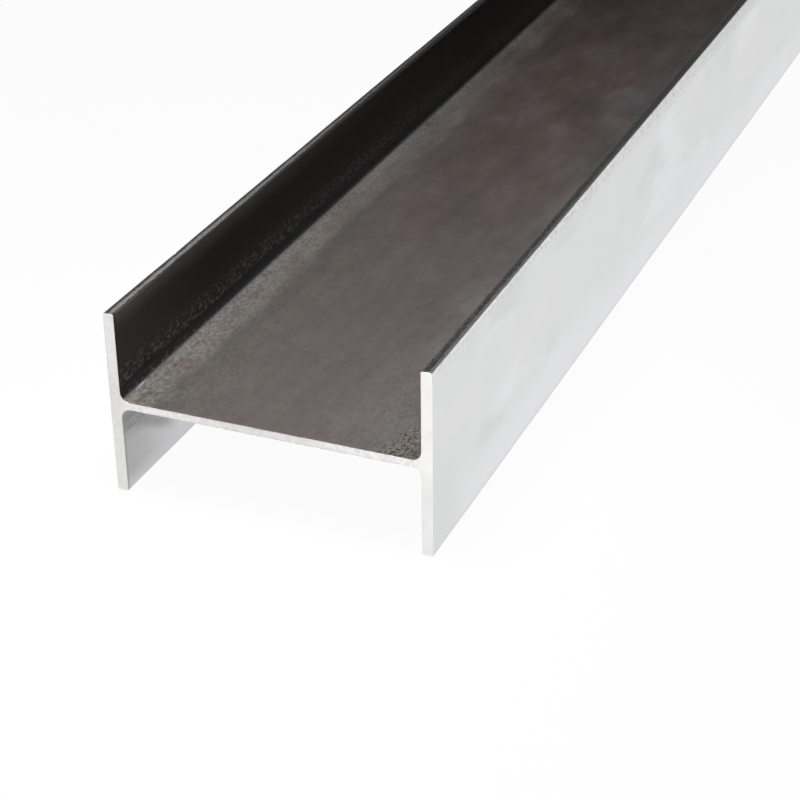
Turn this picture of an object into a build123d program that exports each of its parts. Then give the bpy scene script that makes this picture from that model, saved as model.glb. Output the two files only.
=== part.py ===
from build123d import *
import os

# Hot-rolled steel I-beam with parallel flanges: universal beam, 254 x 146 mm, 31 kg/m.
# It lies as in the photograph, on the edges of its flanges, with the web level.
# +Y runs along the beam, +X across its depth, +Z up. The origin is on the floor under
# the middle of the section, halfway along the beam. All sizes are in millimetres.

# Rolled section
section_depth = 251.4      # over the outer faces of the two flanges
flange_width = 146.1       # edge to edge, the height as it lies
web_thickness = 6.0
flange_thickness = 8.6
root_radius = 7.6          # fillet between web and flange
edge_radius = 1.5          # rounding that the rolls leave on the flange edges

# Length cut from the bar
beam_length = 3000.0
arris_chamfer = 0.4        # dressed edge all round each saw cut

# Places worked out from the sizes above
web_level = flange_width / 2
flange_middle = (section_depth - flange_thickness) / 2
section_plane = Plane(origin=(0, 0, web_level), x_dir=(1, 0, 0), z_dir=(0, -1, 0))


with BuildPart() as i_beam:
    # Section: the web reaches the middle of each flange, so that the three bars join
    with BuildSketch(section_plane) as rolled_section:
        Rectangle(2 * flange_middle, web_thickness)
        with Locations((-flange_middle, 0), (flange_middle, 0)):
            Rectangle(flange_thickness, flange_width)

        # Corners by height: lower flange edges, both sides of the web, upper flange edges
        lower, web_underside, web_top, upper = rolled_section.vertices().group_by(Axis.Y)
        fillet(web_underside + web_top, radius=root_radius)

        lower, *_, upper = rolled_section.vertices().group_by(Axis.Y)
        fillet(lower + upper, radius=edge_radius)

    # The section is carried both ways along the length, then both saw cuts are dressed
    extrude(amount=beam_length / 2, both=True)
    near_cut, *_, far_cut = i_beam.faces().sort_by(Axis.Y)
    chamfer(near_cut.edges() + far_cut.edges(), length=arris_chamfer)

i_beam.part.label = "i_beam"

os.makedirs("parts", exist_ok=True)
export_step(i_beam.part, "parts/i_beam.step")
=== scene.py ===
import bisect
import math
import random
from types import SimpleNamespace

import bmesh
import bpy
from mathutils import Matrix, Vector, noise


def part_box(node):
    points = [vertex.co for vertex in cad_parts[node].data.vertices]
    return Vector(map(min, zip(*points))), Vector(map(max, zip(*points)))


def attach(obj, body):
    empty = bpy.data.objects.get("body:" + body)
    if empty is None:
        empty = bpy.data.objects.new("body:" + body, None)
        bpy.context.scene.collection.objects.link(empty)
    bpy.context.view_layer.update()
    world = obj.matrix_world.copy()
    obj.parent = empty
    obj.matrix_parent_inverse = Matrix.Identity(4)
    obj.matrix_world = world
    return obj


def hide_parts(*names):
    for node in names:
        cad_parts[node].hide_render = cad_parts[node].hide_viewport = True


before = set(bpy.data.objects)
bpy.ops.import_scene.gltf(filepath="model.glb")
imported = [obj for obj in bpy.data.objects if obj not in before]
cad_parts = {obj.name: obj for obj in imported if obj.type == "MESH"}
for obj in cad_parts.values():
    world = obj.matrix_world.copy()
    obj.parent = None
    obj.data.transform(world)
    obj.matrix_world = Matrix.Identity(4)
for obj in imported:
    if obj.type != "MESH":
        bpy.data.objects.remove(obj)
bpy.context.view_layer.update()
scene = bpy.context.scene
scene.view_settings.view_transform = "Standard"


# Small helpers for node trees

def freshTree(name):
    material = bpy.data.materials.new(name)
    material.use_nodes = True
    material.node_tree.nodes.clear()
    return material, material.node_tree


def addNode(tree, kind, settings=None, inputs=None):
    node = tree.nodes.new(kind)
    for key, value in (settings or {}).items():
        setattr(node, key, value)
    for key, value in (inputs or {}).items():
        if isinstance(value, bpy.types.NodeSocket):
            tree.links.new(value, node.inputs[key])
        else:
            node.inputs[key].default_value = value
    return node


def calc(tree, operation, first, second=0.0, clamp=False):
    node = addNode(tree, "ShaderNodeMath", {"operation": operation, "use_clamp": clamp},
                   {0: first, 1: second})
    return node.outputs[0]


def times(tree, product, *others):
    for other in others:
        product = calc(tree, "MULTIPLY", product, other)
    return product


def plus(tree, first, second):
    return calc(tree, "ADD", first, second)


def minus(tree, first, second):
    return calc(tree, "SUBTRACT", first, second)


def larger(tree, first, second):
    return calc(tree, "MAXIMUM", first, second)


def offFrom(tree, value, centre):
    return calc(tree, "ABSOLUTE", minus(tree, value, centre))


# 0 where value is below low, 1 above high, smooth between; low may be the larger one
def rise(tree, value, low, high):
    node = addNode(tree, "ShaderNodeMapRange", {"interpolation_type": "SMOOTHSTEP"},
                   {"Value": value, "From Min": low, "From Max": high})
    return node.outputs["Result"]


def scaled(tree, value, low, high):
    node = addNode(tree, "ShaderNodeMapRange", None,
                   {"Value": value, "To Min": low, "To Max": high})
    return node.outputs["Result"]


# From the first level to the second one as value goes over the reach
def graded(tree, value, reach, levels):
    return scaled(tree, rise(tree, value, *reach), *levels)


# 1 where value is past the reach of start and not yet in the reach of end
def between(tree, value, start, end):
    return times(tree, rise(tree, value, *start), rise(tree, value, *end))


# Adds a noise to a value, by up to swing either way, so that an edge drawn from it wavers
def wavered(tree, value, texture, swing):
    return plus(tree, value, scaled(tree, texture, -swing, swing))


def blendColour(tree, factor, first, second, mode="MIX"):
    node = addNode(tree, "ShaderNodeMix", {"data_type": "RGBA", "blend_type": mode})
    for socket, value in ((node.inputs[0], factor), (node.inputs[6], first), (node.inputs[7], second)):
        if isinstance(value, bpy.types.NodeSocket):
            tree.links.new(value, socket)
        else:
            socket.default_value = value if isinstance(value, float) else (*value, 1.0)
    return node.outputs[2]


noiseMiddle = 0.5             # a noise swings about this


# Noise on the beam's own coordinates: size is a grain in metres, stretch lengthens it along x, y, z
def grain(tree, place, size, detail=3.0, stretch=(1, 1, 1), roughness=0.55, seed=0.0):
    scale = tuple(1 / (size * s) for s in stretch)
    mapping = addNode(tree, "ShaderNodeMapping", None,
                      {"Vector": place, "Location": (seed, seed * 1.7, seed * 0.6), "Scale": scale})
    node = addNode(tree, "ShaderNodeTexNoise", None,
                   {"Vector": mapping.outputs[0], "Scale": 1.0, "Detail": detail,
                    "Roughness": roughness})
    return node.outputs[0]


# Where the noise stands above a level, as spots from 0 to 1
def spots(tree, place, size, level, soft, **settings):
    return rise(tree, grain(tree, place, size, **settings), level - soft, level + soft)


def finishShader(tree, colour, metallic, roughness, height, strength, depth, sheen=0.5):
    bump = addNode(tree, "ShaderNodeBump", None,
                   {"Height": height, "Distance": depth, "Strength": strength})
    shader = addNode(tree, "ShaderNodeBsdfPrincipled", None,
                     {"Base Color": colour, "Metallic": metallic, "Roughness": roughness,
                      "Specular IOR Level": sheen, "Normal": bump.outputs[0]})
    output = addNode(tree, "ShaderNodeOutputMaterial")
    tree.links.new(shader.outputs[0], output.inputs["Surface"])


def beamPlace(tree):
    place = addNode(tree, "ShaderNodeTexCoord").outputs["Object"]
    parts = addNode(tree, "ShaderNodeSeparateXYZ", None, {0: place}).outputs
    return place, parts[0], parts[1], parts[2]


def awayFromCut(tree, y):
    return minus(tree, halfLength, calc(tree, "ABSOLUTE", y))


# Rolled beam. Sizes in metres; the overall ones come from the frame's node
beam = {
    "webThickness": 0.0060,
    "flangeThickness": 0.0086,
    "rootRadius": 0.0076,
    "rootSegments": 6,
    "edgeRadius": 0.0015,
    "edgeSegments": 3,
    "sawArris": 0.0004,
    "arrisSegments": 2,
    "rowSpacing": 0.010,      # rows of faces along the beam
    "endRowSpacing": 0.004,   # and within endReach of a cut
    "endReach": 0.06,
    "leastSpacing": 0.0006,
    # cuts across a quarter of the section: outer face, inner face, web and edge
    "cuts": {"face": 9, "flange": 5, "web": 10, "edge": 2},
    "rimCuts": 2,             # extra points between two rows' points, round a saw cut
    "shortEdge": 0.003,       # edges up to this length aren't cut
    "waviness": 0.00008,      # how far the rolled faces wander
    "waveScale": (9, 5, 9),
    "rootGrit": 0.00018,      # rolled-in scale at the roots
    "gritScale": (160, 90, 160),
    "gritReach": 0.03,
    "faceSlack": 0.0001,      # a point this close to an inner face still counts as in the channel
    "edgeWander": 0.00030,    # unevenness of the flange edges
    "edgeScale": (14, 20),
    "edgeShift": 3,           # moves the noise apart for the two flanges
    "rimWander": 0.00035,     # unevenness of the dressed rim
    "rimScale": 230,
    "rimShift": 7,            # and for the two ends
    "borderReach": 0.002,     # how far in from an edge or a cut those two go
    "nickCount": 40,
    "nickMargin": 0.02,
    "outerNicks": 0.7,        # share of them on the outer edges
    "nickLength": (0.0025, 0.0060),
    "nickDepth": (0.0002, 0.0005),
    "nickWidth": 0.0028,
    "nickSink": 0.6,          # how far in from the edge a nick points, in flange thicknesses
    "cutShare": 0.9,          # the part of the arris that looks sawn
    "roundShare": 0.25,       # the part of the edge rounding that looks like the flange's edge
    "sharpFrom": 34,          # degrees
    "seed": 11,
}
hair = 1e-6                   # closer than this is the same place
nodeLow, nodeHigh = (Vector(corner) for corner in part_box("i_beam"))
halfDepth = (nodeHigh.x - nodeLow.x) / 2
halfWidth = (nodeHigh.z - nodeLow.z) / 2
halfLength = (nodeHigh.y - nodeLow.y) / 2
webLevel = (nodeHigh.z + nodeLow.z) / 2
innerFace = halfDepth - beam["flangeThickness"]
halfWeb = beam["webThickness"] / 2
materialOrder = ["sawnEnd", "flangeFace", "flangeEdge", "channelAbove", "channelBelowFloorLit"]


def roundCorners(bm, corners, radius, segments):
    bmesh.ops.bevel(bm, geom=corners, offset=radius, offset_type="OFFSET",
                    segments=segments, profile=0.5, affect="VERTICES", material=-1)


# One quarter of the section as a bent wire, with its corners rounded, mirrored to the whole outline
def sectionOutline(bm):
    corners = [(halfDepth, 0.0), (halfDepth, halfWidth), (innerFace, halfWidth),
               (innerFace, halfWeb), (0.0, halfWeb)]
    points = [bm.verts.new((x, -halfLength, z)) for x, z in corners]
    for first, second in zip(points, points[1:]):
        bm.edges.new((first, second))
    roundCorners(bm, points[1:3], beam["edgeRadius"], beam["edgeSegments"])
    root = min((v for v in bm.verts if v.is_valid and abs(v.co.x - innerFace) < hair),
               key=lambda v: v.co.z)
    roundCorners(bm, [root], beam["rootRadius"], beam["rootSegments"])
    straight = {kind: [] for kind in beam["cuts"]}
    for edge in bm.edges:
        (first, second), length = (v.co for v in edge.verts), edge.calc_length()
        if length < beam["shortEdge"]:
            continue
        if abs(first.z - second.z) < hair:
            straight["web" if first.z < halfWidth / 2 else "edge"].append(edge)
        else:
            straight["face" if first.x > halfDepth - hair else "flange"].append(edge)
    for kind, edges in straight.items():
        bmesh.ops.subdivide_edges(bm, edges=edges, cuts=beam["cuts"][kind])
    for axis in "XZ":
        bmesh.ops.mirror(bm, geom=bm.verts[:] + bm.edges[:], merge_dist=10 * hair, axis=axis)
    bmesh.ops.remove_doubles(bm, verts=bm.verts[:], dist=10 * hair)
    bmesh.ops.translate(bm, verts=bm.verts[:], vec=(0, 0, webLevel))


# Nicks that handling left on the eight long edges: (y, side in x, side in z, length, depth)
def chooseNicks():
    dice = random.Random(beam["seed"])
    nicks = []
    for _ in range(beam["nickCount"]):
        nicks.append((dice.uniform(-halfLength + beam["nickMargin"], halfLength - beam["nickMargin"]),
                      dice.choice((-1, 1)) * (halfDepth if dice.random() < beam["outerNicks"]
                                              else innerFace),
                      dice.choice((nodeLow.z, nodeHigh.z)),
                      dice.uniform(*beam["nickLength"]), dice.uniform(*beam["nickDepth"])))
    return sorted(nicks)


# Places of the rows along the beam: closer near the cuts, and five across each nick
def rowPlaces(nicks):
    rows, y = [], -halfLength
    while y < halfLength:
        rows.append(y)
        nearEnd = halfLength - abs(y) < beam["endReach"]
        y += beam["endRowSpacing"] if nearEnd else beam["rowSpacing"]
    for centre, _, _, length, _ in nicks:
        rows += [centre + length * share for share in (-0.5, -0.25, 0.0, 0.25, 0.5)]
    kept = [-halfLength]
    for y in sorted(rows):
        if y - kept[-1] > beam["leastSpacing"] and halfLength - y > beam["leastSpacing"]:
            kept.append(y)
    return kept + [halfLength]


def drawAlong(bm, rows):
    made = bmesh.ops.extrude_edge_only(bm, edges=bm.edges[:])["geom"]
    ring = [part for part in made if isinstance(part, bmesh.types.BMVert)]
    bmesh.ops.translate(bm, verts=ring, vec=(0, 2 * halfLength, 0))
    along = [e for e in bm.edges if abs(e.verts[0].co.y - e.verts[1].co.y) > halfLength]
    bmesh.ops.subdivide_edges(bm, edges=along, cuts=len(rows) - 2, use_grid_fill=True)
    step = 2 * halfLength / (len(rows) - 1)
    for vert in bm.verts:
        vert.co.y = rows[round((vert.co.y + halfLength) / step)]


# Closes both ends with flat cuts and dresses their rims, which carry more points than the rows
def closeEnds(bm):
    wide = [e for e in bm.edges if e.is_boundary and e.calc_length() > beam["shortEdge"]]
    bmesh.ops.subdivide_edges(bm, edges=wide, cuts=beam["rimCuts"])
    for y in (-halfLength, halfLength):
        rim = [e for e in bm.edges if e.is_boundary and abs(e.verts[0].co.y - y) < hair]
        bmesh.ops.contextual_create(bm, geom=rim)
    bmesh.ops.recalc_face_normals(bm, faces=bm.faces[:])
    rims = [e for e in bm.edges if all(abs(abs(v.co.y) - halfLength) < hair for v in e.verts)]
    bmesh.ops.bevel(bm, geom=rims, offset=beam["sawArris"], offset_type="OFFSET",
                    segments=beam["arrisSegments"], profile=0.5, affect="EDGES", material=-1)


def faceKind(face):
    centre = face.calc_center_median()
    if halfLength - abs(centre.y) < beam["sawArris"] * beam["cutShare"]:
        return "sawnEnd"
    if abs(abs(centre.z - webLevel) - halfWidth) < beam["edgeRadius"] * beam["roundShare"]:
        return "flangeEdge"
    if abs(centre.x) > halfDepth - beam["flangeThickness"] / 2:
        return "flangeFace"
    return "channelAbove" if centre.z > webLevel else "channelBelowFloorLit"


# How far rolling and sawing left the surface below its nominal place
def rolledPush(x, y, z):
    alongX, alongY, alongZ = beam["waveScale"]
    push = beam["waviness"] * (0.5 + 0.5 * noise.noise(Vector((x * alongX, y * alongY, z * alongZ))))
    fromRoot = math.hypot(innerFace - abs(x), halfWeb - abs(z - webLevel))
    if fromRoot < beam["gritReach"] and abs(x) < innerFace + beam["faceSlack"]:
        alongX, alongY, alongZ = beam["gritScale"]
        lump = 0.5 + 0.5 * noise.noise(Vector((x * alongX, y * alongY, z * alongZ)))
        push += beam["rootGrit"] * lump * (1 - fromRoot / beam["gritReach"])
    if halfWidth - abs(z - webLevel) < beam["borderReach"]:
        alongY, alongZ = beam["edgeScale"]
        bump = noise.noise(Vector((math.copysign(beam["edgeShift"], x), y * alongY, z * alongZ)))
        push += beam["edgeWander"] * max(0.0, bump)
    if halfLength - abs(y) < beam["borderReach"]:
        scale = beam["rimScale"]
        ripple = noise.noise(Vector((x * scale, math.copysign(beam["rimShift"], y), z * scale)))
        push += beam["rimWander"] * max(0.0, ripple)
    return push


# Which way and how far a nick pushes a point, towards the middle of the flange
def nickPush(x, y, z, nick):
    centre, edgeX, edgeZ, length, depth = nick
    along = abs(y - centre) / (length * 0.5)
    across = math.hypot(x - edgeX, z - edgeZ) / beam["nickWidth"]
    if along >= 1 or across >= 1:
        return Vector((0, 0, 0))
    middle = math.copysign(halfDepth - beam["flangeThickness"] / 2, edgeX)
    sink = math.copysign(beam["nickSink"] * beam["flangeThickness"], webLevel - edgeZ)
    inward = Vector((middle - edgeX, 0, sink)).normalized()
    return inward * depth * (1 - along * along) * (1 - across)


# Pushes the surface in, never out, by what rolling and handling leave
def addRelief(bm, nicks):
    bm.normal_update()
    starts = [nick[0] for nick in nicks]
    reach = beam["nickLength"][1]
    moves = []
    for vert in bm.verts:
        x, y, z = vert.co
        move = -vert.normal * rolledPush(x, y, z)
        for nick in nicks[bisect.bisect_left(starts, y - reach):bisect.bisect_right(starts, y + reach)]:
            move += nickPush(x, y, z, nick)
        moves.append((vert, move))
    for vert, move in moves:
        vert.co += move
        vert.co.x = max(-halfDepth, min(halfDepth, vert.co.x))
        vert.co.y = max(-halfLength, min(halfLength, vert.co.y))
        vert.co.z = max(nodeLow.z, min(nodeHigh.z, vert.co.z))


def buildBeam():
    bm = bmesh.new()
    sectionOutline(bm)
    nicks = chooseNicks()
    rows = rowPlaces(nicks)
    drawAlong(bm, rows)
    closeEnds(bm)
    for face in bm.faces:
        face.material_index = materialOrder.index(faceKind(face))
        face.smooth = True
    addRelief(bm, nicks)
    mesh = bpy.data.meshes.new("rolledBeam")
    bm.to_mesh(mesh)
    bm.free()
    mesh.set_sharp_from_angle(angle=math.radians(beam["sharpFrom"]))
    piece = bpy.data.objects.new("rolledBeam", mesh)
    scene.collection.objects.link(piece)
    triangles = sum(len(p.vertices) - 2 for p in mesh.polygons)
    print("beam:", len(rows), "rows,", triangles, "triangles")
    return piece


# In the finishes, sizes and reaches are in metres. A reach is where a tone starts and where it is
# full, a level is the same for a noise, and spots have a level and its softness. A share is how
# strong something gets, or from what to what

# Ends as the saw left them: pale and finely scored, with a painted highlight along the flange tips
sawnEnd = {
    "bright": (1.0, 0.99, 0.965),
    "dull": (0.865, 0.850, 0.834),
    "lowLeft": (0.780, 0.774, 0.750),
    "web": (0.93, 0.91, 0.885),
    "webDull": (0.80, 0.775, 0.755),
    # rim is a painted highlight, laid on the flange tips
    "rim": (1.0, 1.0, 0.99),
    "smudge": (0.76, 0.75, 0.735),
    "stain": (0.64, 0.63, 0.612),
    "cloudSize": 0.03,
    "brightReach": (0.10, 0.24),       # by x + z, wavering
    "brightWaver": 0.12,
    "leftReach": (0.05, -0.05),        # by x
    "lowReach": (0.110, 0.085),        # by z, wavering
    "lowWaver": 0.03,
    "webReach": (-0.002, 0.006),       # in from the flanges
    "webBrightReach": (0.0, 0.11),     # by x, wavering
    "webWaver": 0.05,
    "webDullMiddle": -0.010,           # x of the web's dullest part
    "webDullReach": (0.065, 0.020),    # from there, wavering
    "webDullShare": 0.75,
    "scoreSize": 0.0010,
    "scoreShare": (0.0, 0.34),
    "scoreFadeReach": (0.18, 0.26),    # by x + z, to a weaker score
    "scoreFade": (1.0, 0.25),
    "smudgeSize": 0.010,
    "smudgeSpots": (0.60, 0.14),
    "smudgeShare": (0.2, 0.5),         # on the flanges, on the web
    "stainSize": 0.0035,
    "stainSpots": (0.52, 0.12),
    "stainShare": 0.45,
    "joint": 0.014,                    # height above the web's middle of the most stained part
    "jointReach": (0.014, 0.005),
    "jointShare": (0.6, 1.0),          # elsewhere on the left, at the joint
    "tipReach": (0.0018, 0.0008),
    "tipShare": 0.7,
    "metallic": 0.95,
    "roughness": (0.26, 0.38),
    "bump": (0.15, 0.0002),            # strength, depth
}


def sawnEndFinish():
    look = sawnEnd
    material, tree = freshTree("sawnEnd")
    place, x, _, z = beamPlace(tree)
    onLeft = rise(tree, x, *look["leftReach"])
    cloud = grain(tree, place, look["cloudSize"], detail=4)
    lean = wavered(tree, plus(tree, x, z), cloud, look["brightWaver"])
    colour = blendColour(tree, rise(tree, lean, *look["brightReach"]), look["dull"], look["bright"])
    sunk = rise(tree, wavered(tree, z, cloud, look["lowWaver"]), *look["lowReach"])
    colour = blendColour(tree, times(tree, sunk, onLeft), colour, look["lowLeft"])

    # The web's cut is duller, most of all near its middle
    onWeb = rise(tree, minus(tree, innerFace, calc(tree, "ABSOLUTE", x)), *look["webReach"])
    sideways = wavered(tree, x, cloud, look["webWaver"])
    webCut = blendColour(tree, rise(tree, sideways, *look["webBrightReach"]), look["web"], look["bright"])
    offMiddle = offFrom(tree, sideways, look["webDullMiddle"])
    dulled = times(tree, rise(tree, offMiddle, *look["webDullReach"]), look["webDullShare"])
    colour = blendColour(tree, onWeb, colour, blendColour(tree, dulled, webCut, look["webDull"]))

    # Score lines, smudges and stains, then a painted highlight on the tips of the flanges
    score = grain(tree, place, look["scoreSize"], detail=3, stretch=(14, 1, 1))
    fade = graded(tree, lean, look["scoreFadeReach"], look["scoreFade"])
    scored = times(tree, scaled(tree, score, *look["scoreShare"]), fade)
    colour = blendColour(tree, scored, colour, look["dull"])
    smudges = spots(tree, place, look["smudgeSize"], *look["smudgeSpots"], detail=5, seed=2)
    smudged = times(tree, smudges, scaled(tree, onWeb, *look["smudgeShare"]))
    colour = blendColour(tree, smudged, colour, look["smudge"])
    stains = spots(tree, place, look["stainSize"], *look["stainSpots"], detail=4, roughness=0.7, seed=6)
    joint = rise(tree, offFrom(tree, z, webLevel + look["joint"]), *look["jointReach"])
    joint = times(tree, scaled(tree, joint, *look["jointShare"]), onLeft)
    stained = times(tree, stains, larger(tree, onWeb, joint), look["stainShare"])
    colour = blendColour(tree, stained, colour, look["stain"])
    tipHighlight = rise(tree, minus(tree, halfWidth, offFrom(tree, z, webLevel)), *look["tipReach"])
    colour = blendColour(tree, times(tree, tipHighlight, look["tipShare"]), colour, look["rim"])

    roughness = scaled(tree, cloud, *look["roughness"])
    finishShader(tree, colour, look["metallic"], roughness, score, *look["bump"])
    return material


# Outer flange faces: smooth from the rolls, with faint clouds, a painted highlight along the upper arris
# and scuffs below it
flangeFace = {
    "plain": (0.748, 0.765, 0.758),
    "cool": (0.800, 0.808, 0.832),
    "warm": (0.775, 0.760, 0.762),
    "shade": (0.700, 0.715, 0.709),
    # the painted highlight's colour, also used for the pale dashes
    "arrisHighlight": (0.87, 0.87, 0.86),
    "scuff": (0.55, 0.555, 0.55),
    "lowEdge": (0.66, 0.645, 0.645),
    "cloudSize": 0.075,
    "coolLevel": (0.52, 0.70),
    "driftSize": 0.055,
    "warmLevel": (0.53, 0.70),
    "shadeLevel": (0.44, 0.28),
    "lowWaver": 0.05,
    "lowReach": (0.050, 0.010),        # by z, wavering
    "cornerReach": (0.075, 0.020),     # from the cut
    "cornerHeight": (0.10, 0.04),      # by z
    "cornerShare": 0.7,
    "dashSize": 0.0022,
    "bandReach": (0.0230, 0.0060),     # below the upper edge, away from a cut
    "bandNarrow": (0.6, 0.05),         # from the cut, where it is bandTimes narrower
    "bandTimes": (1.0, 2.2),
    "bandFade": (0.05, 0.30),
    "bandShare": (0.5, 1.0),           # at the cut, away from it
    "scuffLevel": (0.47, 0.59),
    "brightLevel": (0.46, 0.36),
    "darkerFarReach": (0.3, 0.9),
    "darkerFarShare": (0.0, 0.45),
    "rubSize": 0.004,
    "rubLevel": (0.34, 0.56),
    "arrisReach": (0.0030, 0.0018),    # below the upper edge
    "arrisFade": (0.05, 0.8),
    "arrisShare": (1.0, 0.3),
    "lowEdgeReach": (0.0040, 0.0010),
    "metallic": 0.9,
    "roughness": (0.28, 0.38),
    "roughSize": 0.03,
    "fineSize": 0.0012,
    "bump": (0.08, 0.0002),
}


def flangeFaceFinish():
    look = flangeFace
    material, tree = freshTree("flangeFace")
    place, _, y, z = beamPlace(tree)
    fromTop = minus(tree, nodeHigh.z, z)
    fromCut = awayFromCut(tree, y)
    clouds = grain(tree, place, look["cloudSize"], detail=3, stretch=(1, 2.2, 1))
    colour = blendColour(tree, rise(tree, clouds, *look["coolLevel"]), look["plain"], look["cool"])
    drift = grain(tree, place, look["driftSize"], detail=3, stretch=(1, 2.2, 1), seed=5)
    colour = blendColour(tree, rise(tree, drift, *look["warmLevel"]), colour, look["warm"])
    colour = blendColour(tree, rise(tree, drift, *look["shadeLevel"]), colour, look["shade"])
    low = rise(tree, wavered(tree, z, clouds, look["lowWaver"]), *look["lowReach"])
    colour = blendColour(tree, low, colour, look["cool"])
    corner = times(tree, rise(tree, fromCut, *look["cornerReach"]),
                   rise(tree, z, *look["cornerHeight"]), look["cornerShare"])
    colour = blendColour(tree, corner, colour, look["shade"])

    # Scuffs in a band below the upper edge, narrow at the cut and darker away from it
    dashes = grain(tree, place, look["dashSize"], detail=4, stretch=(1, 1.8, 1.5), roughness=0.65)
    narrowing = graded(tree, fromCut, look["bandNarrow"], look["bandTimes"])
    band = rise(tree, times(tree, fromTop, narrowing), *look["bandReach"])
    band = times(tree, band, graded(tree, fromCut, look["bandFade"], look["bandShare"]))
    colour = blendColour(tree, times(tree, band, rise(tree, dashes, *look["scuffLevel"])),
                         colour, look["scuff"])
    # Pale dashes among the scuffs, partly a painted highlight
    colour = blendColour(tree, times(tree, band, rise(tree, dashes, *look["brightLevel"])),
                         colour, look["arrisHighlight"])
    darkerFar = times(tree, band, graded(tree, fromCut, look["darkerFarReach"], look["darkerFarShare"]))
    colour = blendColour(tree, darkerFar, colour, look["scuff"])

    # Painted highlight along the upper arris, broken where it is rubbed, and a duller edge below
    rubbed = grain(tree, place, look["rubSize"], detail=3, stretch=(1, 4, 1), seed=12)
    arrisHighlight = times(tree, rise(tree, fromTop, *look["arrisReach"]), rise(tree, rubbed, *look["rubLevel"]))
    arrisHighlight = times(tree, arrisHighlight, graded(tree, fromCut, look["arrisFade"], look["arrisShare"]))
    colour = blendColour(tree, arrisHighlight, colour, look["arrisHighlight"])
    colour = blendColour(tree, rise(tree, z, *look["lowEdgeReach"]), colour, look["lowEdge"])

    fine = grain(tree, place, look["fineSize"], detail=3, stretch=(1, 4, 1))
    roughness = scaled(tree, grain(tree, place, look["roughSize"], detail=3), *look["roughness"])
    finishShader(tree, colour, look["metallic"], roughness, fine, *look["bump"])
    return material


# Flange edges: dark scale with a rubbed grey strip, scored across
flangeEdge = {
    "scale": (0.060, 0.060, 0.056),
    "deep": (0.018, 0.018, 0.017),
    "rubbedLeft": (0.256, 0.254, 0.247),
    "rubbedFar": (0.100, 0.098, 0.094),
    "rubbedRight": (0.150, 0.150, 0.145),
    "rubbedRightFar": (0.080, 0.078, 0.075),
    "sideReach": (-0.05, 0.05),        # by x, from the left flange to the right one
    "unevenSize": 0.0032,
    "uneven": 0.0012,
    "toothSize": 0.0014,
    "tooth": 0.0010,
    "leftNear": (0.9, 0.0),            # from the cut, as are the next four
    "rightFar": (0.15, 0.60),
    "darkFar": (0.25, 0.75),
    "strayReach": (0.0, 0.8),
    "narrowReach": (0.15, 0.70),
    "darkShare": 0.9,
    "stray": (0.0012, -0.0006),        # the left strip's middle, at the cut and away from it
    "narrow": (1.0, 1.7),
    "leftStrip": (0.0022, 0.0010),     # from its middle
    "rightStrip": (0.0010, 0.0022),    # from the flange's middle, outwards
    "innerStrip": (-0.0020, -0.0034),  # and inwards
    "innerShare": 0.7,
    "scoreSize": 0.0013,
    "deepLevel": (0.42, 0.60),
    "scaleLevel": (0.46, 0.64),
    "scaleShare": 0.55,
    "metallic": 0.3,
    "roughness": 0.5,
    "bump": (0.3, 0.0004),
}


def flangeEdgeFinish():
    look = flangeEdge
    material, tree = freshTree("flangeEdge")
    place, x, y, _ = beamPlace(tree)
    fromCut = awayFromCut(tree, y)
    side = rise(tree, x, *look["sideReach"])
    middle = innerFace + beam["flangeThickness"] / 2
    fromMiddle = times(tree, minus(tree, calc(tree, "ABSOLUTE", x), middle), calc(tree, "SIGN", x))
    uneven = grain(tree, place, look["unevenSize"], detail=4, stretch=(1, 5, 1))
    teeth = grain(tree, place, look["toothSize"], detail=2, stretch=(1, 2, 1), seed=15)
    ragged = wavered(tree, fromMiddle, uneven, look["uneven"])
    ragged = wavered(tree, ragged, teeth, look["tooth"])

    # Tones: both get darker away from the cut
    rubbedLeft = blendColour(tree, rise(tree, fromCut, *look["leftNear"]),
                             look["rubbedFar"], look["rubbedLeft"])
    rubbedRight = blendColour(tree, rise(tree, fromCut, *look["rightFar"]),
                              look["rubbedRight"], look["rubbedRightFar"])
    rubbed = blendColour(tree, side, rubbedLeft, rubbedRight)
    score = grain(tree, place, look["scoreSize"], detail=3, stretch=(3, 1, 1), seed=4)
    rubbed = blendColour(tree, times(tree, rise(tree, score, *look["scaleLevel"]), look["scaleShare"]),
                         rubbed, look["scale"])
    dark = blendColour(tree, rise(tree, score, *look["deepLevel"]), look["scale"], look["deep"])
    leftFar = times(tree, rise(tree, fromCut, *look["darkFar"]), minus(tree, 1.0, side),
                    look["darkShare"])
    dark = blendColour(tree, leftFar, dark, look["deep"])

    # The rubbed strip: along the middle on the left, along both borders on the right
    stray = graded(tree, fromCut, look["strayReach"], look["stray"])
    narrower = graded(tree, fromCut, look["narrowReach"], look["narrow"])
    leftStrip = rise(tree, times(tree, offFrom(tree, ragged, stray), narrower), *look["leftStrip"])
    inner = times(tree, rise(tree, ragged, *look["innerStrip"]), look["innerShare"])
    rightStrip = larger(tree, rise(tree, ragged, *look["rightStrip"]), inner)
    strip = addNode(tree, "ShaderNodeMix", {"data_type": "FLOAT"}, {0: side, 2: leftStrip, 3: rightStrip})
    colour = blendColour(tree, strip.outputs[0], dark, rubbed)
    finishShader(tree, colour, look["metallic"], look["roughness"], score, *look["bump"])
    return material


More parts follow.
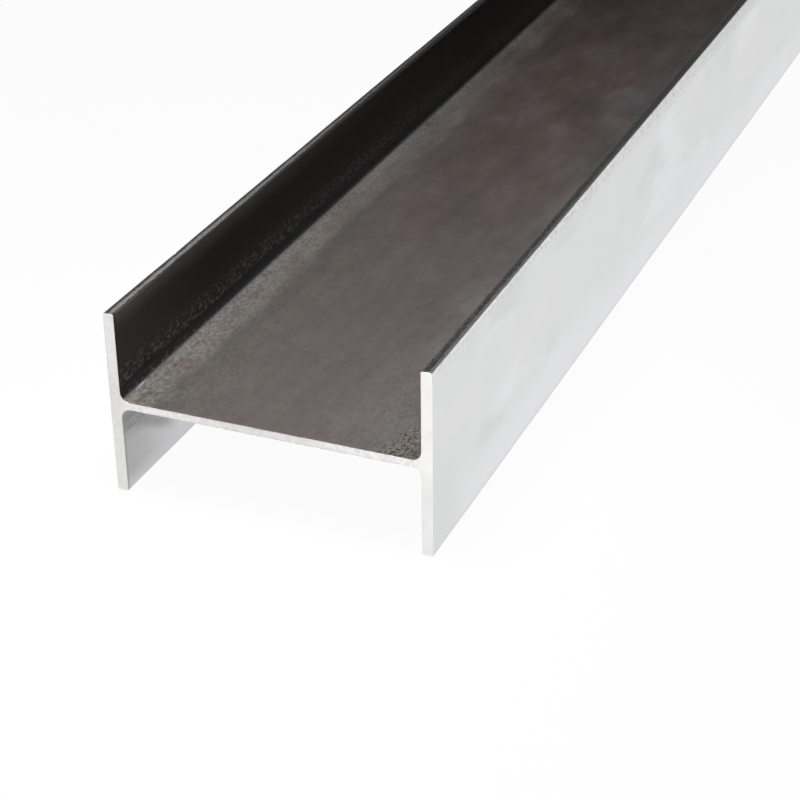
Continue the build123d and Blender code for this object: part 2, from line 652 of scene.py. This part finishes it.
# Channels between the flanges: mill scale, gritty beside the roots.
# The wall is a flange's inner face, the foot its lowest part with the fillet
channelAbove = {
    "web": (0.178, 0.127, 0.115),
    "webNear": (0.147, 0.125, 0.118),
    "webCool": (0.185, 0.172, 0.177),
    "webFarShade": (0.108, 0.076, 0.069),
    "webSide": (0.121, 0.114, 0.104),
    # near-black, partly a painted dark reflection of the same scale as the web
    "wall": (0.0188, 0.0181, 0.0178),
    "wallFar": (0.0124, 0.0120, 0.0119),
    "wallNear": (0.060, 0.0515, 0.0490),
    "wallTop": (0.150, 0.138, 0.132),
    "foot": (0.046, 0.048, 0.053),
    "footSpeck": (0.160, 0.165, 0.185),
    "rootHighlight": (0.330, 0.330, 0.328),
    "glintStreak": (0.56, 0.56, 0.55),
    "webGrit": (0.262, 0.250, 0.230),
    "gritBrown": (0.225, 0.180, 0.158),
    "gritFleck": (0.420, 0.395, 0.350),
    "gritPale": (0.387, 0.353, 0.326),
    "cornerLight": (0.222, 0.211, 0.187),
    "cornerBrown": (0.205, 0.165, 0.150),
    "cornerDark": (0.066, 0.061, 0.053),
    "cornerCool": (0.166, 0.170, 0.174),
    "wallGrit": (0.180, 0.153, 0.131),
    "pit": (0.050, 0.042, 0.037),
    "deep": (0.010, 0.009, 0.008),
    "footReach": (0.011, 0.003),       # up from the web
    "footLine": 0.0,                   # strength of the line along the foot's top
    "innerShade": 0.0,                 # and of the shade beside a cut
    "nearReach": 0.17,                 # how far in from the cut the wall is paler
    "mottle": 0.18,
    "sheen": 0.19,
    "metallic": (0.25, 0.55),          # web, wall
    "roughness": (0.52, 0.34),
}
# Below the web the same scale is painted pale: the white floor's light and reflection painted in, with
# painted shade in the darker foot under the web and in the inner shade
channelBelowFloorLit = {
    "web": (0.50, 0.50, 0.51),
    "webNear": (0.50, 0.50, 0.51),
    "webCool": (0.52, 0.52, 0.54),
    "webFarShade": (0.50, 0.50, 0.51),
    "webSide": (0.49, 0.49, 0.49),
    "wall": (0.660, 0.660, 0.675),
    "wallFar": (0.660, 0.660, 0.675),
    "wallNear": (0.425, 0.423, 0.430),
    "wallTop": (0.60, 0.60, 0.62),
    "foot": (0.285, 0.285, 0.285),
    "footSpeck": (0.31, 0.31, 0.32),
    "rootHighlight": (0.50, 0.50, 0.52),
    "glintStreak": (0.50, 0.50, 0.52),
    "webGrit": (0.50, 0.50, 0.50),
    "gritBrown": (0.46, 0.45, 0.44),
    "gritFleck": (0.52, 0.52, 0.52),
    "gritPale": (0.48, 0.48, 0.48),
    "cornerLight": (0.46, 0.46, 0.46),
    "cornerBrown": (0.44, 0.43, 0.43),
    "cornerDark": (0.36, 0.36, 0.36),
    "cornerCool": (0.50, 0.50, 0.51),
    "wallGrit": (0.30, 0.30, 0.31),
    "pit": (0.40, 0.40, 0.41),
    "deep": (0.20, 0.20, 0.20),
    "footReach": (0.022, 0.017),
    "footLine": 0.6,
    "innerShade": 0.85,
    "nearReach": 0.10,
    "mottle": 0.09,
    "sheen": 0.5,
    "metallic": (0.9, 0.9),
    "roughness": (0.40, 0.34),
}
# What both channels share. Fade, Near, Far, Start and End are reaches from the cut
channel = {
    "wanderSize": 0.030, "wander": 0.014,
    "curlSize": 0.0028,
    "gritSize": 0.0026,
    "cloudSize": 0.07,
    "blotchSize": 0.024,
    "fineSize": 0.0010,
    "patchSize": 0.016,
    "wormSize": 0.0027,
    "mottleSize": 0.006,
    "wallWaver": 0.0020,               # of the line between web and wall
    "wallReach": (-0.0016, 0.0024),    # by the height on the wall less the distance from it
    "sideReach": (0.0, 0.09),          # by x, to the side with the darker grit
    "leftReach": (0.05, -0.05),        # by x
    # The web's colour, with a stretch of painted shade away from the cut
    "webNear": (1.1, 0.05),
    "coolWaver": 0.08, "coolReach": (0.03, 0.09),      # by x, wavering
    "coolFade": (0.30, 0.06), "coolShare": (1.0, 0.6),
    "blotchFar": (0.10, 0.80), "blotchSwing": (0.35, 1.10),
    "blotchLevel": (0.52, 0.66), "blotchTint": 0.40,
    # painted shade: the darkest stretch stands for the light falling off along the beam
    "webStart": (0.78, 1.04), "webEnd": (1.45, 1.15),  # of the darkest stretch
    # Grit, its band beside the root and the pale line in it, a painted highlight; reaches are from the
    # root
    "brownLevel": (0.46, 0.62),
    "pitLevel": (0.58, 0.38), "pitShift": 0.12, "pitShare": (0.45, 0.95),
    "fleckLevel": (0.58, 0.68), "hollowLevel": (0.42, 0.30), "fleckShare": 0.6,
    "paleFar": (0.05, 0.60), "paleShare": (0.05, 0.80),
    "bandReach": (0.038, 0.021),
    "coreReach": (0.028, 0.006), "coreShare": (0.62, 1.0),
    "fringeReach": (0.075, 0.030), "fringeShare": 0.12,
    "besideReach": (0.050, 0.038), "besideFade": (0.75, 0.35), "besideShare": 0.65,
    "bandFar": (0.15, 0.50), "bandShare": (0.88, 0.74), "bandLoss": 0.35,
    "lineMiddle": 0.0055, "lineReach": (0.0055, 0.0025),    # from the wall
    "lineLevel": (0.76, 1.08), "lineFine": (0.36, 0.52),
    "lineFar": (0.05, 0.45), "lineShare": (0.5, 1.0), "lineLoss": (1.0, 0.4),
    # The curled corner; reaches are from the corner
    "cornerSquash": 0.45,              # it is longer along the beam than across it
    "cornerSide": (0.05, 0.09),        # by x
    "cornerRim": (0.050, 0.034), "rimShare": 0.5,
    "cornerReach": (0.034, 0.027), "cornerWaver": 0.008,
    "wormLevel": (0.125, 0.015), "cornerBrown": (0.46, 0.56),
    # The wall; reaches are heights above the web
    "wallFar": (0.30, 0.65),
    "climb": 0.25,                     # how far the curls and the shadow follow the wander
    "innerSlope": 0.52,                # the inner shade lies over a line that climbs from the cut
    "innerReach": (-0.020, -0.010), "innerFade": (0.085, 0.055),
    "footFar": (0.3, 0.9),
    "speckLevel": (0.54, 0.66), "speckFade": (0.25, 0.0),
    "footTop": 0.0205, "footEdge": (0.0018, 0.0006),
    "shadowLow": (0.005, 0.009), "shadowHigh": (0.0145, 0.0115), "shadowShare": 0.55,
    "curlLow": (0.0100, 0.0130), "curlHigh": (0.034, 0.015),
    "curlFade": (0.7, 0.1), "curlShare": (0.35, 1.0),
    "curlLevel": (0.47, 0.62), "outlineMiddle": 0.45, "outlineLevel": (0.050, 0.015),
    "topWaver": 0.3, "topReach": (0.053, 0.0700), "topFade": (0.7, -0.2),
    "roundReach": (0.0682, 0.0690), "roundNear": (0.02, 0.12), "roundFar": (0.20, 0.70),
    "cutNear": (0.0045, 0.0015), "cutShare": 0.6,
    # The painted glint by the root, light and dark, and gloss; reaches are from the wall
    "glintMiddle": -0.0013, "glintWidth": (0.0010, 0.0004),    # measured as wallReach is
    "glintStart": (0.017, 0.021), "glintEnd": (0.036, 0.030),
    "speckleReach": (0.10, 0.02),
    "grainyReach": (0.12, 0.03), "grainyFade": (0.4, 0.0), "grainySwing": 6,
    "pitSize": 0.004, "pitSpots": (0.68, 0.06), "pitSpotShare": 0.18,
    "roughnessSwing": 0.08,
    "mottleHeight": 0.2,
    "bump": (0.5, 0.0005),
}


# Distances in metres, grains and bands that the parts of a channel share
def channelField(tree):
    place, x, y, z = beamPlace(tree)
    field = SimpleNamespace(place=place, x=x, fromCut=awayFromCut(tree, y))
    field.fromWall = minus(tree, innerFace, calc(tree, "ABSOLUTE", x))
    field.upWall = minus(tree, offFrom(tree, z, webLevel), halfWeb)
    field.onLeft = rise(tree, x, *channel["leftReach"])
    field.oneSide = rise(tree, x, *channel["sideReach"])
    field.farStretch = between(tree, field.fromCut, channel["webStart"], channel["webEnd"])

    wander = grain(tree, place, channel["wanderSize"], detail=3, stretch=(1, 2, 1))
    field.wander = scaled(tree, wander, -channel["wander"], channel["wander"])
    field.curls = grain(tree, place, channel["curlSize"], detail=3, stretch=(1, 1.8, 1), seed=3,
                        roughness=0.6)
    field.grit = grain(tree, place, channel["gritSize"], detail=5, stretch=(1, 1.9, 1), roughness=0.7)
    field.fine = grain(tree, place, channel["fineSize"], detail=3, stretch=(1, 1.8, 1), roughness=0.7,
                       seed=4)
    field.patch = grain(tree, place, channel["patchSize"], detail=3, stretch=(1, 2, 1), seed=9)
    field.blotches = grain(tree, place, channel["blotchSize"], detail=4, stretch=(1, 2.5, 1), seed=17)
    field.blotched = rise(tree, field.fromCut, *channel["blotchFar"])

    field.steep = minus(tree, field.upWall, field.fromWall)
    field.onWall = rise(tree, wavered(tree, field.steep, field.grit, channel["wallWaver"]),
                        *channel["wallReach"])
    field.fromRoot = plus(tree, field.fromWall, field.wander)
    core = graded(tree, field.fromRoot, channel["coreReach"], channel["coreShare"])
    band = times(tree, rise(tree, field.fromRoot, *channel["bandReach"]), core)
    fringe = times(tree, rise(tree, field.fromRoot, *channel["fringeReach"]), channel["fringeShare"])
    field.webBand = larger(tree, band, fringe)
    field.climbed = plus(tree, field.upWall, times(tree, field.wander, channel["climb"]))
    field.wallBand = times(tree, between(tree, field.climbed, channel["curlLow"], channel["curlHigh"]),
                           graded(tree, field.fromCut, channel["curlFade"], channel["curlShare"]))
    return field


# Web: greyer beside a cut, darker well away from it as painted shade, and cooler along one side
def plainWeb(tree, look, field):
    web = blendColour(tree, rise(tree, field.fromCut, *channel["webNear"]), look["web"],
                      look["webNear"])
    clouds = grain(tree, field.place, channel["cloudSize"], detail=3, stretch=(1, 2, 1))
    cooled = rise(tree, wavered(tree, field.x, clouds, channel["coolWaver"]), *channel["coolReach"])
    cooled = times(tree, cooled, graded(tree, field.fromCut, channel["coolFade"], channel["coolShare"]))
    web = blendColour(tree, cooled, web, look["webCool"])
    tinted = times(tree, rise(tree, field.blotches, *channel["blotchLevel"]),
                   times(tree, field.blotched, channel["blotchTint"]))
    web = blendColour(tree, tinted, web, look["webCool"])
    return blendColour(tree, field.farStretch, web, look["webFarShade"])


# Grit beside the root: darker and browner on one side, paler away from the cut
def gritColour(tree, look, field):
    brownish = larger(tree, rise(tree, field.patch, *channel["brownLevel"]), field.oneSide)
    gritty = blendColour(tree, brownish, look["webGrit"], look["gritBrown"])
    pitted = minus(tree, field.grit, times(tree, field.oneSide, channel["pitShift"]))
    pitted = times(tree, rise(tree, pitted, *channel["pitLevel"]),
                   scaled(tree, field.oneSide, *channel["pitShare"]))
    gritty = blendColour(tree, pitted, gritty, look["pit"])
    flecks = times(tree, rise(tree, field.fine, *channel["fleckLevel"]), channel["fleckShare"])
    gritty = blendColour(tree, flecks, gritty, look["gritFleck"])
    hollows = times(tree, rise(tree, field.fine, *channel["hollowLevel"]), channel["fleckShare"])
    gritty = blendColour(tree, hollows, gritty, look["pit"])
    paler = graded(tree, field.fromCut, channel["paleFar"], channel["paleShare"])
    return blendColour(tree, paler, gritty, look["gritPale"])


# The web with its band of grit and, inside that, a broken pale line along the root: a painted highlight
# on the fillet
def grittyWeb(tree, look, field):
    web = plainWeb(tree, look, field)
    otherSide = minus(tree, 1.0, field.oneSide)
    beside = times(tree, rise(tree, field.fromRoot, *channel["besideReach"]),
                   rise(tree, field.fromCut, *channel["besideFade"]), otherSide,
                   channel["besideShare"])
    web = blendColour(tree, beside, web, look["webSide"])
    faded = graded(tree, field.fromCut, channel["bandFar"], channel["bandShare"])
    faded = minus(tree, faded, times(tree, field.farStretch, channel["bandLoss"]))
    web = blendColour(tree, times(tree, field.webBand, faded), web, gritColour(tree, look, field))
    line = rise(tree, offFrom(tree, field.fromWall, channel["lineMiddle"]), *channel["lineReach"])
    line = times(tree, line, rise(tree, plus(tree, field.patch, field.grit), *channel["lineLevel"]),
                 rise(tree, field.fine, *channel["lineFine"]), otherSide)
    along = times(tree, graded(tree, field.fromCut, channel["lineFar"], channel["lineShare"]),
                  scaled(tree, field.farStretch, *channel["lineLoss"]))
    return blendColour(tree, times(tree, line, along), web, look["rootHighlight"])


# Curls of loose scale where one root meets a cut
def curledCorner(tree, look, field, web):
    alongBeam = times(tree, field.fromCut, channel["cornerSquash"])
    corner = calc(tree, "SQRT", plus(tree, times(tree, field.fromRoot, field.fromRoot),
                                     times(tree, alongBeam, alongBeam)))
    onSide = rise(tree, field.x, *channel["cornerSide"])
    cool = times(tree, rise(tree, corner, *channel["cornerRim"]), onSide, channel["rimShare"])
    web = blendColour(tree, cool, web, look["cornerCool"])
    worms = grain(tree, field.place, channel["wormSize"], detail=2, stretch=(1, 1.5, 1), seed=21)
    nearLine = rise(tree, offFrom(tree, worms, noiseMiddle), *channel["wormLevel"])
    lit = blendColour(tree, rise(tree, field.patch, *channel["cornerBrown"]),
                      look["cornerLight"], look["cornerBrown"])
    curled = blendColour(tree, nearLine, look["cornerDark"], lit)
    patch = rise(tree, wavered(tree, corner, worms, channel["cornerWaver"]), *channel["cornerReach"])
    return blendColour(tree, times(tree, patch, onSide), web, curled)


# Wall: smooth, near-black above the web and pale below it, each partly painted reflection and shade; a
# band of curls above the foot, paler just below the edge
def wallColour(tree, look, field):
    fromCut, upWall = field.fromCut, field.upWall
    wall = blendColour(tree, rise(tree, fromCut, *channel["wallFar"]), look["wall"], look["wallFar"])
    wall = blendColour(tree, rise(tree, fromCut, look["nearReach"], 0.0), wall, look["wallNear"])
    inner = minus(tree, times(tree, fromCut, channel["innerSlope"]), upWall)
    inner = times(tree, rise(tree, inner, *channel["innerReach"]),
                  rise(tree, fromCut, *channel["innerFade"]), look["innerShade"])
    wall = blendColour(tree, inner, wall, look["foot"])

    # Foot, with specks near the cut and a line along its top
    onFoot = rise(tree, upWall, *look["footReach"])
    foot = blendColour(tree, rise(tree, fromCut, *channel["footFar"]), look["foot"], look["wall"])
    wall = blendColour(tree, onFoot, wall, foot)
    specks = times(tree, onFoot, rise(tree, field.curls, *channel["speckLevel"]),
                   rise(tree, fromCut, *channel["speckFade"]))
    wall = blendColour(tree, specks, wall, look["footSpeck"])
    footEdge = rise(tree, offFrom(tree, upWall, channel["footTop"]), *channel["footEdge"])
    wall = blendColour(tree, times(tree, footEdge, look["footLine"]), wall, look["deep"])

    # Curls above a dark strip, each with a dark outline
    shadow = times(tree, between(tree, field.climbed, channel["shadowLow"], channel["shadowHigh"]),
                   channel["shadowShare"])
    wall = blendColour(tree, shadow, wall, look["deep"])
    loose = times(tree, field.wallBand, rise(tree, field.curls, *channel["curlLevel"]))
    wall = blendColour(tree, loose, wall, look["wallGrit"])
    outline = rise(tree, offFrom(tree, field.curls, channel["outlineMiddle"]),
                   *channel["outlineLevel"])
    wall = blendColour(tree, times(tree, field.wallBand, outline), wall, look["deep"])

    # Paler under the edge on the left, painted shade on the edge's rounding, and darker just inside the
    # cut
    top = plus(tree, upWall, times(tree, field.wander, channel["topWaver"]))
    top = times(tree, rise(tree, top, *channel["topReach"]), rise(tree, fromCut, *channel["topFade"]),
                field.onLeft)
    wall = blendColour(tree, top, wall, look["wallTop"])
    rounding = times(tree, rise(tree, upWall, *channel["roundReach"]),
                     rise(tree, fromCut, *channel["roundNear"]))
    roundingShade = blendColour(tree, rise(tree, fromCut, *channel["roundFar"]), look["foot"],
                             look["deep"])
    wall = blendColour(tree, rounding, wall, roundingShade)
    nearCut = times(tree, rise(tree, fromCut, *channel["cutNear"]), channel["cutShare"])
    return blendColour(tree, nearCut, wall, look["foot"])


# Light and dark over a whole channel: mottle, streaks along it, blotches and grains on the web
def channelTone(tree, look, field, mottle):
    swing = look["mottle"]
    streaks = grain(tree, field.place, channel["mottleSize"], detail=2, stretch=(1, 30, 1), seed=7)
    tone = plus(tree, scaled(tree, mottle, 1 - swing, 1 + swing),
                scaled(tree, streaks, -swing / 2, swing / 2))
    cloudy = times(tree, minus(tree, field.blotches, noiseMiddle),
                   scaled(tree, field.blotched, *channel["blotchSwing"]),
                   scaled(tree, field.onWall, 1.0, 0.0))
    tone = plus(tree, tone, cloudy)
    speckled = times(tree, minus(tree, field.fine, noiseMiddle),
                     rise(tree, field.fromWall, *channel["speckleReach"]), 2 * swing)
    tone = plus(tree, tone, speckled)
    nearBoth = times(tree, rise(tree, field.fromWall, *channel["grainyReach"]),
                     rise(tree, field.fromCut, *channel["grainyFade"]))
    grainy = times(tree, larger(tree, field.webBand, nearBoth), minus(tree, field.grit, noiseMiddle),
                   scaled(tree, field.onWall, channel["grainySwing"] * swing, 0.0))
    return plus(tree, tone, grainy)


def channelFinish(name, look):
    material, tree = freshTree(name)
    field = channelField(tree)
    web = curledCorner(tree, look, field, grittyWeb(tree, look, field))
    colour = blendColour(tree, field.onWall, web, wallColour(tree, look, field))

    # A painted highlight: a short bright glint along the left root, close to the cut
    rootGlint = rise(tree, offFrom(tree, field.steep, channel["glintMiddle"]), *channel["glintWidth"])
    nearCut = between(tree, field.fromCut, channel["glintStart"], channel["glintEnd"])
    rootGlint = times(tree, rootGlint, nearCut, field.onLeft)
    colour = blendColour(tree, rootGlint, colour, look["glintStreak"])
    mottle = grain(tree, field.place, channel["mottleSize"], detail=4, stretch=(1, 1.5, 1))
    tone = channelTone(tree, look, field, mottle)
    shade = addNode(tree, "ShaderNodeCombineColor", None, {0: tone, 1: tone, 2: tone}).outputs[0]
    colour = blendColour(tree, 1.0, colour, shade, "MULTIPLY")
    specks = spots(tree, field.place, channel["pitSize"], *channel["pitSpots"], detail=3,
                   stretch=(1, 2, 1), seed=8)
    colour = blendColour(tree, times(tree, specks, channel["pitSpotShare"]), colour, look["pit"])

    # What is the same all over goes on the shader's own socket
    onWeb, onWall = look["metallic"]
    metallic = onWeb if onWeb == onWall else scaled(tree, field.onWall, onWeb, onWall)
    roughness = wavered(tree, scaled(tree, field.onWall, *look["roughness"]), mottle,
                        channel["roughnessSwing"])
    bands = calc(tree, "ADD", times(tree, field.webBand, minus(tree, 1.0, field.onWall)),
                 times(tree, field.wallBand, field.onWall), clamp=True)
    height = plus(tree, times(tree, field.grit, bands), times(tree, mottle, channel["mottleHeight"]))
    finishShader(tree, colour, metallic, roughness, height, *channel["bump"], look["sheen"])
    return material


piece = buildBeam()
for finish in (sawnEndFinish(), flangeFaceFinish(), flangeEdgeFinish(),
               channelFinish("channelAbove", channelAbove), channelFinish("channelBelowFloorLit", channelBelowFloorLit)):
    piece.data.materials.append(finish)
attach(piece, "root")
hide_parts("i_beam")
print("finishes:", [m.name for m in piece.data.materials])


# Pale studio: a wide white floor under a soft sky, and soft lamps over the beam's ends and middle
studio = {
    "floorReach": 60.0,
    "floorColour": (0.92, 0.92, 0.92),
    "floorGlow": 0.95,        # how much of the floor's white is its own, to the camera and in reflections
    # level of the sky by the sine of the elevation: a pale backdrop, then dim, then a pale ceiling
    "sky": ((0.12, 0.85), (0.20, 0.08), (0.50, 0.10), (0.80, 0.26)),
    "backdrop": 0.97,         # what the camera and reflections see of it
    "backdropTop": (0.24, 0.19),
    # place, power and spread in degrees, so that each lamp keeps to its own stretch
    "lamps": (((-0.05, -1.62, 1.08), 5.0, 110),
              ((0.0, 0.40, 1.20), 1.6, 60),
              ((0.0, 1.15, 1.20), 5.0, 110)),
    "lampSize": 0.8,
}


# 1 for what the camera, reflections and clear things see, 0 for what lights the beam
def seenRays(tree):
    rays = addNode(tree, "ShaderNodeLightPath").outputs
    seen = plus(tree, rays["Is Camera Ray"], rays["Is Glossy Ray"])
    return calc(tree, "ADD", seen, rays["Is Transmission Ray"], clamp=True)


def buildFloor():
    bm = bmesh.new()
    bmesh.ops.create_grid(bm, x_segments=1, y_segments=1, size=studio["floorReach"])
    mesh = bpy.data.meshes.new("floor")
    bm.to_mesh(mesh)
    bm.free()
    floor = bpy.data.objects.new("floor", mesh)
    scene.collection.objects.link(floor)
    material, tree = freshTree("floorWhite")
    glowing = times(tree, seenRays(tree), studio["floorGlow"])
    paint = addNode(tree, "ShaderNodeBsdfDiffuse", None, {"Color": (*studio["floorColour"], 1.0)})
    glow = addNode(tree, "ShaderNodeEmission", None, {"Strength": 1.0})
    mixed = addNode(tree, "ShaderNodeMixShader", None,
                    {0: glowing, 1: paint.outputs[0], 2: glow.outputs[0]})
    output = addNode(tree, "ShaderNodeOutputMaterial")
    tree.links.new(mixed.outputs[0], output.inputs["Surface"])
    mesh.materials.append(material)


def buildSky():
    world = bpy.data.worlds.new("studioSky")
    scene.world = world
    world.use_nodes = True
    tree = world.node_tree
    tree.nodes.clear()
    direction = addNode(tree, "ShaderNodeTexCoord").outputs["Generated"]
    up = addNode(tree, "ShaderNodeSeparateXYZ", None, {0: direction}).outputs[2]
    ramp = addNode(tree, "ShaderNodeValToRGB", None, {0: up})
    steps = ramp.color_ramp.elements
    for index, (height, level) in enumerate(studio["sky"]):
        step = steps[index] if index < 2 else steps.new(height)
        step.position, step.color = height, (level, level, level, 1.0)
    pale = times(tree, seenRays(tree), rise(tree, up, *studio["backdropTop"]))
    level = blendColour(tree, pale, ramp.outputs[0], (studio["backdrop"],) * 3)
    background = addNode(tree, "ShaderNodeBackground", None, {"Color": level})
    output = addNode(tree, "ShaderNodeOutputWorld")
    tree.links.new(background.outputs[0], output.inputs["Surface"])


def buildLamp(spot, power, spread):
    light = bpy.data.lights.new("softLamp", "AREA")
    light.shape, light.size, light.energy = "DISK", studio["lampSize"], power
    light.spread = math.radians(spread)
    lamp = bpy.data.objects.new("softLamp", light)
    lamp.location = spot
    lamp.visible_camera = False
    scene.collection.objects.link(lamp)


buildFloor()
buildSky()
for lamp in studio["lamps"]:
    buildLamp(*lamp)
print("studio: floor, sky and", len(studio["lamps"]), "lamps")


# The photograph's view, in degrees and metres; the lens and sensor are in millimetres
view = {
    "place": (0.5856, nodeLow.y - 1.1401, 0.8043),
    "down": 28.88,
    "left": 22.98,
    "roll": -0.82,
    "lens": 94.17,
    "sensor": 36.0,
    "clip": (0.05, 200.0),
}


def buildCamera():
    camera = bpy.data.objects.new("photoView", bpy.data.cameras.new("photoView"))
    camera.data.lens, camera.data.sensor_width = view["lens"], view["sensor"]
    camera.data.clip_start, camera.data.clip_end = view["clip"]
    turn = (Matrix.Rotation(math.radians(view["left"]), 4, "Z")
            @ Matrix.Rotation(math.radians(90 - view["down"]), 4, "X")
            @ Matrix.Rotation(math.radians(view["roll"]), 4, "Z"))
    camera.matrix_world = Matrix.Translation(view["place"]) @ turn
    scene.collection.objects.link(camera)
    scene.camera = camera


buildCamera()
print("camera:", view["lens"], "mm lens")
